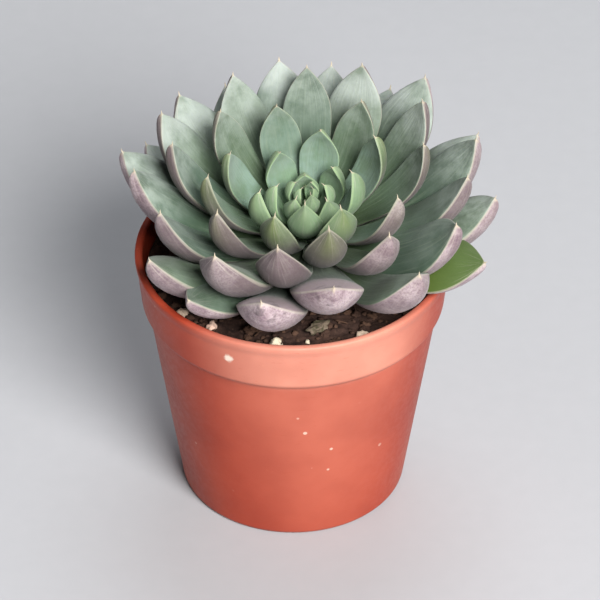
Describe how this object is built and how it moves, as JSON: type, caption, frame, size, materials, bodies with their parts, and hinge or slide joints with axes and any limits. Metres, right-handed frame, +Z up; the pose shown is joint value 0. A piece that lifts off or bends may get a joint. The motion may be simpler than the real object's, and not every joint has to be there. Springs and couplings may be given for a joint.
{
  "type": "potted echeveria",
  "caption": "Potted echeveria: a dense rosette of thick, pointed, upcurved leaves over peat soil in a small round plastic nursery pot with a stepped rim.",
  "frame": {"origin": "centre of the underside of the pot's base, on the surface the pot stands on", "axes": "+Z up out of the soil; -Y is the front, the side that the picture shows and that the rosette leans to"},
  "size_m": [0.0661, 0.0664, 0.0715],
  "materials": {
    "pot": "satin terracotta-orange moulded plastic",
    "soil": "matt, crumbly dark peat with a few pale grains",
    "stem": "matt brown bark",
    "rosette": "waxy blue-green with a whitish bloom, lilac-brown beneath"
  },
  "bodies": {
    "root": {"pot": "pot", "soil": "soil", "stem": "stem", "rosette": "rosette"}
  },
  "joints": []
}
